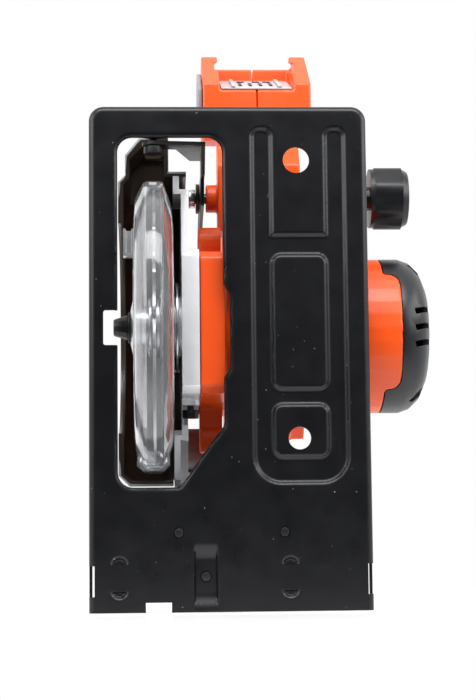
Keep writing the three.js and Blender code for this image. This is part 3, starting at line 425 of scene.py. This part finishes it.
# %% Height of the pressed sheet
PADS = [(-35.1, 35.4), (45.5, 71.6)]
TABS = [(-65, 126.8), (-65, 144), (25, 127.3), (25, 144)]
TAB_ROW = 135
CHANNEL = (-26.1, -13.1, 118.5, 151.3)
SIDE_SLOTS = (129, 145, 3.0)  # from, to, and how deep from the side
SLOT_STRIP = 0.8               # of the flange, left standing outside the slot


def pressed_height(points):
    """Height of the sheet's lower face above the work, in mm, away from its rolled edges."""
    x0, x1, y0, y1 = LADDER
    legs = [inside_distance(points, a, a + LEG, y0, 20, (5, 5, 1, 1)) for a in (x0, x1 - LEG)]
    body = inside_distance(points, x0, x1, -47.6, y1, (1, 1, 15, 15))
    channels = np.maximum.reduce([*legs, body])
    for a, b in PADS:
        pad = inside_distance(points, x0 + LEG, x1 - LEG, a, b, (4, 4, 4, 4))
        channels = np.minimum(channels, -pad)
    height = RISE * step_up(channels - 0.9, 1.45)
    a, b, c, d = CHANNEL
    across = np.minimum(points[:, 0] - a, b - points[:, 0])
    along = np.minimum(points[:, 1] - c, d - points[:, 1])
    height += 2.6 * step_up(across - 0.6, 0.7) * step_up(along - 3.2, 4.2)
    for x, y in TABS:
        way = 1 if y < TAB_ROW else -1
        from_flat = way * (y + way * 1.6 - points[:, 1])
        arch = 1 - np.hypot((points[:, 0] - x) / 4.8, from_flat / 4.4)
        height += 1.7 * step_up(from_flat - 0.4, 0.45) * step_up(4.0 * arch - 0.9, 1.2)
    return height


# %% The flat blank
QUARTER = BEND * math.pi / 2
REACH = QUARTER + FLANGE - BEND  # how far the blank goes beyond the start of the bend
SPREAD = REACH - BEND            # so how far it goes beyond the finished outline
CORNERS = (8.0, 8.0, 0.3, 0.3)
HOLES = [(30.7, -87.5, 7.1), (30.8, 62.6, 6.0), (-19.6, 135.0, 2.9), (-33.7, 112.0, 2.8), (22.2, 112.0, 2.8)]
NOTCH = (-51.2, -37.6, 148.3)
NOTCH_CORNERS = (1.2, 1.2, 1.2, 1.2)
BOLT_NOTCH = (-73.3, -62.0, -6.3, 12.4)  # where the blade bolt passes the window's edge


def circle(x, y, r, count=40):
    turns = [k * math.tau / count for k in range(count)]
    return [(x + r * math.cos(a), y + r * math.sin(a)) for a in turns]


def dense(outline, step):
    """Adds points along a closed outline so that none of its sides is longer than about step, in mm."""
    filled = []
    for a, b in zip(outline, outline[1:] + outline[:1]):
        count = max(1, int(math.dist(a, b) / step))
        filled += [(a[0] + (b[0] - a[0]) * k / count, a[1] + (b[1] - a[1]) * k / count) for k in range(count)]
    return filled


def blank_points():
    """Points of the flat blank: close together where it bends, far apart where it stays flat."""
    points = []
    for inset in (-SPREAD, -SPREAD + 1.2, -2.2, -1.4, -0.6, 0.2, 1.0, 1.9, 2.8, BEND + 0.1, 6.0):
        radii = [max(c - inset, 0.2) if c > 1 else 0.2 for c in CORNERS]
        points += rounded_ring(X0 + inset, X1 - inset, Y0 + inset, Y1, radii)
    for grown in (-WINDOW_LIP + 0.6, -0.7, 0.1, 0.9, 1.8, WINDOW_LIP + 1.0, 5.0):
        points += dense(window_outline(grown), 2.0)
    for x, y, r in HOLES:
        for grown in (0, 0.35, 0.9, 1.8):
            points += circle(x, y, r + grown)
    xs = np.arange(LADDER[0] - 3, LADDER[1] + 3, 0.75)
    points += [(x, y) for x in xs for y in np.arange(LADDER[2] - 3, LADDER[3] + 3, 0.75)]
    points += [(x, y) for x in np.arange(-29, -10.5, 0.6) for y in np.arange(115.5, Y1 - 0.2, 0.8)]
    for tx, ty in TABS:
        points += [(tx + u, ty + v) for u in np.arange(-5, 5.1, 0.4) for v in np.arange(-4, 4.1, 0.4)]
    points += [(x, y) for x in np.arange(X0 + 8, X1 - 7, 5) for y in np.arange(Y0 + 8, Y1 - 1, 5)]
    return points


# %% Triangulate the blank and press it
def in_sheet(middle):
    """Which triangles of the blank are sheet, and not a hole, the window or outside."""
    radii = [max(c + SPREAD, 0.2) if c > 1 else 0.2 for c in CORNERS]
    keep = inside_distance(middle, X0 - SPREAD, X1 + SPREAD, Y0 - SPREAD, Y1, radii) > 0
    keep &= closed_distance(middle, window_outline(-WINDOW_LIP + 0.6))[0] > 0
    for x, y, r in HOLES:
        keep &= np.hypot(middle[:, 0] - x, middle[:, 1] - y) > r * 0.995
    strip = SPREAD - SLOT_STRIP
    at_side = (middle[:, 0] < X0 + SLOT_DEEP) & (middle[:, 0] > X0 - strip)
    at_side |= (middle[:, 0] > X1 - SLOT_DEEP) & (middle[:, 0] < X1 + strip)
    keep &= ~(at_side & (middle[:, 1] > SLOT_LOW) & (middle[:, 1] < SLOT_HIGH))
    keep &= inside_distance(middle, *BOLT_NOTCH, NOTCH_CORNERS) < 0
    keep &= ~((middle[:, 0] > NOTCH[0]) & (middle[:, 0] < NOTCH[1]) & (middle[:, 1] > NOTCH[2]))
    return keep


def rolled(depth, bend):
    """Inset and height of a point that lies depth mm inside the blank's edge zone, on a bend."""
    t = np.clip(bend - depth, 0, None)
    angle = np.clip(t / bend, 0, math.pi / 2)
    inset = bend - bend * np.sin(angle)
    height = bend - bend * np.cos(angle) + np.clip(t - bend * math.pi / 2, 0, None)
    return np.where(t > 0, inset, depth), np.where(t > 0, height, 0)


def press(points):
    """Where each point of the blank lies on the pressed sheet, and its height there, in mm."""
    radii = tuple(c if c > 1 else 0.2 for c in CORNERS)
    args = (X0, X1, Y0, Y1 + 40, radii)
    depth = inside_distance(points, *args)
    e = 0.01
    out = np.stack([inside_distance(points + (e, 0), *args) - depth,
                    inside_distance(points + (0, e), *args) - depth], 1)
    out /= np.maximum(np.hypot(*out.T), 1e-9)[:, None]
    inset, height = rolled(depth, BEND)
    flat = points + out * (inset - depth)[:, None]
    gap, nearest = closed_distance(points, window_outline())
    away = (points - nearest) / np.maximum(np.abs(gap), 1e-6)[:, None] * np.sign(gap)[:, None]
    lip, lip_height = rolled(gap, WINDOW_LIP)
    close = gap < WINDOW_LIP
    flat[close] = nearest[close] + away[close] * lip[close][:, None]
    height = height + np.where(close, lip_height, 0)
    return flat, height + pressed_height(points)


raw = [Vector(p) for p in dict.fromkeys((round(x, 3), round(y, 3)) for x, y in blank_points())]
SLOT_LOW, SLOT_HIGH, SLOT_DEEP = SIDE_SLOTS
cuts = [[(NOTCH[0], NOTCH[2]), (NOTCH[1], NOTCH[2]), (NOTCH[1], Y1), (NOTCH[0], Y1)],
        window_outline(-WINDOW_LIP + 0.6), rounded_ring(*BOLT_NOTCH, NOTCH_CORNERS),
        *(circle(x, y, r) for x, y, r in HOLES)]
for outer, inner in ((X0 - SPREAD + SLOT_STRIP, X0 + SLOT_DEEP), (X1 + SPREAD - SLOT_STRIP, X1 - SLOT_DEEP)):
    cuts.append([(outer, SLOT_LOW), (inner, SLOT_LOW), (inner, SLOT_HIGH), (outer, SLOT_HIGH)])
seams = []
for outline in cuts:
    first, ring = len(raw), dense(outline, 1.5)
    raw += [Vector(p) for p in ring]
    seams += [(first + k, first + (k + 1) % len(ring)) for k in range(len(ring))]
points, _, triangles, *_ = geometry.delaunay_2d_cdt(raw, seams, [], 0, 1e-4)
points = np.array([tuple(p) for p in points])
triangles = np.array([t for t in triangles if len(t) == 3])
triangles = triangles[in_sheet(points[triangles].mean(1))]
flat, height = press(points)
print(len(points), "points,", len(triangles), "triangles in the blank")


# %% Give the sheet its thickness
def mesh_piece(name, vertices, faces, slot, body):
    mesh = bpy.data.meshes.new(name)
    mesh.from_pydata([tuple(v) for v in vertices], [], [tuple(int(i) for i in f) for f in faces])
    mesh.update()
    piece = bpy.data.objects.new(name, mesh)
    bpy.context.collection.objects.link(piece)
    mesh.materials.append(FINISHES[slot])
    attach(piece, body)
    return piece


used = np.unique(triangles)
renumber = np.full(len(points), -1)
renumber[used] = np.arange(len(used))
sheet = np.column_stack([flat, height])[used] * MM
plate = mesh_piece("pressed_sole", sheet, renumber[triangles][:, ::-1], "sole_steel", "shoe")
thickness = plate.modifiers.new("sheet", "SOLIDIFY")
thickness.thickness = SHEET * MM
thickness.offset = -1
smooth(plate)
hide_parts("sole_plate")
print("sole plate of", len(sheet), "points")

# %% [markdown]
# ## The clear lower guard
# The lower guard is moulded in clear plastic: a hollow half drum with chamfered shoulders, fine ribs round
# its sides and a boxed front lip. Clear plastic shows its wall on both sides, so it has to be a closed shell
# of real thickness. A profile turned half a circle gives that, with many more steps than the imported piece.

# %% Turn a profile about the arbor
def turn(profile, start, end, steps):
    """Vertices and faces of a closed (x, r) profile in mm turned between two angles, with flat ends."""
    vertices, faces = [], []
    for k in range(steps + 1):
        a = math.radians(start + (end - start) * k / steps)
        vertices += [(x * MM, ARBOR.y + r * MM * math.cos(a), ARBOR.z + r * MM * math.sin(a))
                     for x, r in profile]
    n = len(profile)
    for k in range(steps):
        for i in range(n):
            j = (i + 1) % n
            faces.append((k * n + i, k * n + j, (k + 1) * n + j, (k + 1) * n + i))
    faces.append(tuple(range(n - 1, -1, -1)))
    faces.append(tuple(steps * n + i for i in range(n)))
    return vertices, faces


# %% The guard's section
WALL = 1.5
OUTER = [(-56.5, 34.0), (-56.5, 69.5), (-55.9, 72.0), (-52.3, 78.4), (-51.4, 79.5), (-50.2, 80.0),
         (-42.4, 80.0), (-41.2, 79.3), (-40.5, 77.8), (-36.9, 67.5), (-36.2, 63.5), (-36.2, 17.6)]


def ribbed(section, tall=0.35, wide=0.9, gap=5.5):
    """Adds low ribs to the two straight sides of the section."""
    ribs = []
    for (xa, ra), (xb, rb) in zip(section, section[1:]):
        ribs.append((xa, ra))
        if xa == xb and abs(rb - ra) > 12:
            way = 1 if rb > ra else -1
            out = -1 if xa < -46 else 1
            for k in range(1, int(abs(rb - ra) / gap)):
                r = ra + way * k * gap
                ribs += [(xa, r), (xa + out * tall, r + way * 0.2), (xa + out * tall, r + way * wide),
                         (xa, r + way * (wide + 0.2))]
    return [*ribs, section[-1]]


def inner_wall(section):
    mid = -46.35
    return [(x + WALL * (1 if x < mid else -1) * (0.6 if r > 78 else 1), r - (WALL if r > 64 else 0))
            for x, r in reversed(section)]


profile = ribbed(OUTER) + inner_wall(OUTER)
vertices, faces = turn(profile[::-1], 180, 360, 120)
drum = mesh_piece("clear_drum", vertices, faces, "clear_guard", "swing_guard")
smooth(drum)
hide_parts("lower_guard")
print("clear drum with", len(profile), "points in its section")


# %% The boxed front lip and the hub ring
def boxed(low, high, chamfer, wall):
    """A thin-walled tray, open on top, with chamfered corners; sizes in mm."""
    def ring(inset, z):
        x0, y0, x1, y1 = low[0] + inset, low[1] + inset, high[0] - inset, high[1] - inset
        c = chamfer
        return [(x0 + c, y0, z), (x1 - c, y0, z), (x1, y0 + c, z), (x1, y1 - c, z), (x1 - c, y1, z),
                (x0 + c, y1, z), (x0, y1 - c, z), (x0, y0 + c, z)]

    rings = [ring(1.0, low[2]), ring(0, low[2] + 1.2), ring(0, high[2]), ring(wall, high[2]),
             ring(wall, low[2] + 1.2 + wall), ring(wall + 1.0, low[2] + wall)]
    vertices = [tuple(v * MM for v in p) for r in rings for p in r]
    faces = [(r * 8 + i, r * 8 + (i + 1) % 8, (r + 1) * 8 + (i + 1) % 8, (r + 1) * 8 + i)
             for r in range(len(rings) - 1) for i in range(8)]
    faces += [tuple(range(7, -1, -1)), tuple(40 + i for i in range(8))]
    return vertices, faces


vertices, faces = boxed((-55.6, 67.5, 2.5), (-38.2, 79.6, 25.6), 3.2, 1.4)
lip = mesh_piece("clear_lip", vertices, faces, "clear_guard", "swing_guard")
smooth(lip)
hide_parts("lower_guard")
vertices, faces = turn([(-38.4, 17.4), (-38.4, 22.0), (-36.3, 22.0), (-36.3, 17.4)], 0, 360, 72)
ring = mesh_piece("clear_hub", vertices, faces[:-2], "clear_guard", "swing_guard")
smooth(ring)
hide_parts("lower_guard")
print("lip and hub ring done")

# %% [markdown]
# ## The battery terminal
# Between the rails of the foot lies a pale terminal plate with recessed contact slots. The imported block
# gives only its size, so the plate is built on the sloping seat: a thin slab, and a row of dark slabs that
# stand just proud of it so that the two surfaces never share a plane. The dark slabs are painted shade of the
# recessed slots.

# %% Slabs on the sloping seat
SEAT_FOOT = Vector((0.0, -141.0, 58.0))
SEAT_UP = Vector((0.0, -19.0, 54.0)).normalized()
SEAT_OUT = Vector((0.0, -54.0, -19.0)).normalized()
SEAT_MIDDLE = 13.6


def seat_slab(x0, x1, s0, s1, d0, d1):
    """Corners and faces of a slab on the seat: across x0..x1, up the slope s0..s1, proud d0..d1, in mm."""
    corners = [SEAT_FOOT + Vector((x, 0, 0)) + SEAT_UP * s + SEAT_OUT * d
               for d in (d0, d1) for x, s in ((x0, s0), (x1, s0), (x1, s1), (x0, s1))]
    faces = [(0, 1, 2, 3), (7, 6, 5, 4), (1, 0, 4, 5), (2, 1, 5, 6), (3, 2, 6, 7), (0, 3, 7, 4)]
    return [c * MM for c in corners], faces


def together(slabs):
    vertices, faces = [], []
    for more, sides in slabs:
        faces += [tuple(len(vertices) + i for i in side) for side in sides]
        vertices += more
    return vertices, faces


def on_seat(name, slabs, slot, radius):
    piece = mesh_piece(name, *together(slabs), slot, "saw_head")
    soften(piece, radius, 2)
    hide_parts("terminal_block")
    return piece


plate_slab = seat_slab(SEAT_MIDDLE - 20.5, SEAT_MIDDLE + 20.5, 4.0, 53.0, 0.3, 1.2)
rails = [seat_slab(SEAT_MIDDLE + x - 1.0, SEAT_MIDDLE + x + 1.0, 4.5, 52.0, 1.3, 2.6) for x in (-13.5, 13.5)]
on_seat("terminal_plate", [plate_slab, *rails], "terminal_grey", 0.25)
# dark slabs just proud of the plate: painted shade standing in for the shade inside the recessed contact
# slots
slots = [seat_slab(SEAT_MIDDLE + x - 0.9, SEAT_MIDDLE + x + 0.9, 16.0, 34.0, 1.3, 1.8)
         for x in (-9, -3, 3, 9)]
slots += [seat_slab(SEAT_MIDDLE + x - 2.2, SEAT_MIDDLE + x + 2.2, 41.0, 44.0, 1.3, 1.8) for x in (-8, 1, 7.5)]
on_seat("terminal_slot_shade", slots, "black_plastic", 0.15)
print("terminal plate with", len(slots), "dark contacts")

# %% [markdown]
# ## Stage and light
# The saw stands on its nose on a white table, in a white studio. The table is a small disc that fades out and
# only shows from the saw's side. The studio is white all round but for a dark patch straight below the
# sole, so that the black sheet stays black, and a softbox over the heel gives it its sheen.

# %% White studio
DARK_PATCH = Vector((0.0, 0.24, -0.97)).normalized()  # straight below the nose of the saw
DARKEST = 0.02
world = bpy.data.worlds.new("studio")
bpy.context.scene.world = world
world.use_nodes = True
tree = world.node_tree
background = tree.nodes["Background"]
direction = tree.nodes.new("ShaderNodeTexCoord").outputs["Generated"]
to_patch = node(tree, "ShaderNodeVectorMath", operation="DOT_PRODUCT")
to_patch.inputs[1].default_value = DARK_PATCH
tree.links.new(direction, to_patch.inputs[0])
glow = between(tree, to_patch.outputs["Value"], 0.99, 0.45, DARKEST, 1.0)
shade = tree.nodes.new("ShaderNodeCombineColor")
for channel in range(3):
    tree.links.new(glow, shade.inputs[channel])
tree.links.new(shade.outputs[0], background.inputs["Color"])
background.inputs["Strength"].default_value = 1.0


# %% Softboxes
def softbox(name, place, aim, size, watts):
    lamp = bpy.data.objects.new(name, bpy.data.lights.new(name, "AREA"))
    lamp.data.shape = "RECTANGLE"
    lamp.data.size, lamp.data.size_y = size
    lamp.data.energy = watts
    lamp.location = place
    lamp.rotation_euler = (Vector(aim) - Vector(place)).to_track_quat("-Z", "Y").to_euler()
    bpy.context.collection.objects.link(lamp)
    return lamp


middle = Vector([(a + b) / 2 for a, b in zip(*cad_bounds)])
softbox("over the heel", (0.05, -0.75, -0.45), middle, (0.9, 0.4), 8)
softbox("left side", (-0.8, -0.4, -0.4), middle, (0.5, 0.9), 4.5)
softbox("right side", (0.8, -0.4, -0.3), middle, (0.4, 0.9), 4.5)

# %% Table
TABLE_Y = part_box("sole_plate")[1][1] + 0.0006
TABLE_SIZE = 0.38
bpy.ops.mesh.primitive_circle_add(vertices=96, radius=TABLE_SIZE, fill_type="NGON",
                                  location=(middle.x, TABLE_Y, 0.05), rotation=(math.radians(90), 0, 0))
table = bpy.context.object
table.name = "table"
white = bpy.data.materials.new("table_white")
white.use_nodes = True
tree = white.node_tree
shader = tree.nodes["Principled BSDF"]
shader.inputs["Base Color"].default_value = (0.9, 0.9, 0.9, 1)
shader.inputs["Roughness"].default_value = 0.18
shader.inputs["Emission Color"].default_value = (1, 1, 1, 1)
shader.inputs["Emission Strength"].default_value = 0.22
local = tree.nodes.new("ShaderNodeTexCoord").outputs["Object"]
reach = node(tree, "ShaderNodeVectorMath", operation="LENGTH")
tree.links.new(local, reach.inputs[0])
fade = between(tree, reach.outputs["Value"], 0.08, TABLE_SIZE * 0.9, 1.0, 0.0)
front = node(tree, "ShaderNodeMath", operation="SUBTRACT")
front.inputs[0].default_value = 1.0
tree.links.new(tree.nodes.new("ShaderNodeNewGeometry").outputs["Backfacing"], front.inputs[1])
seen = node(tree, "ShaderNodeMath", operation="MULTIPLY")
tree.links.new(fade, seen.inputs[0])
tree.links.new(front.outputs[0], seen.inputs[1])
tree.links.new(seen.outputs[0], shader.inputs["Alpha"])
table.data.materials.append(white)

# %% Colour handling and the end
bpy.context.scene.view_settings.view_transform = "Standard"
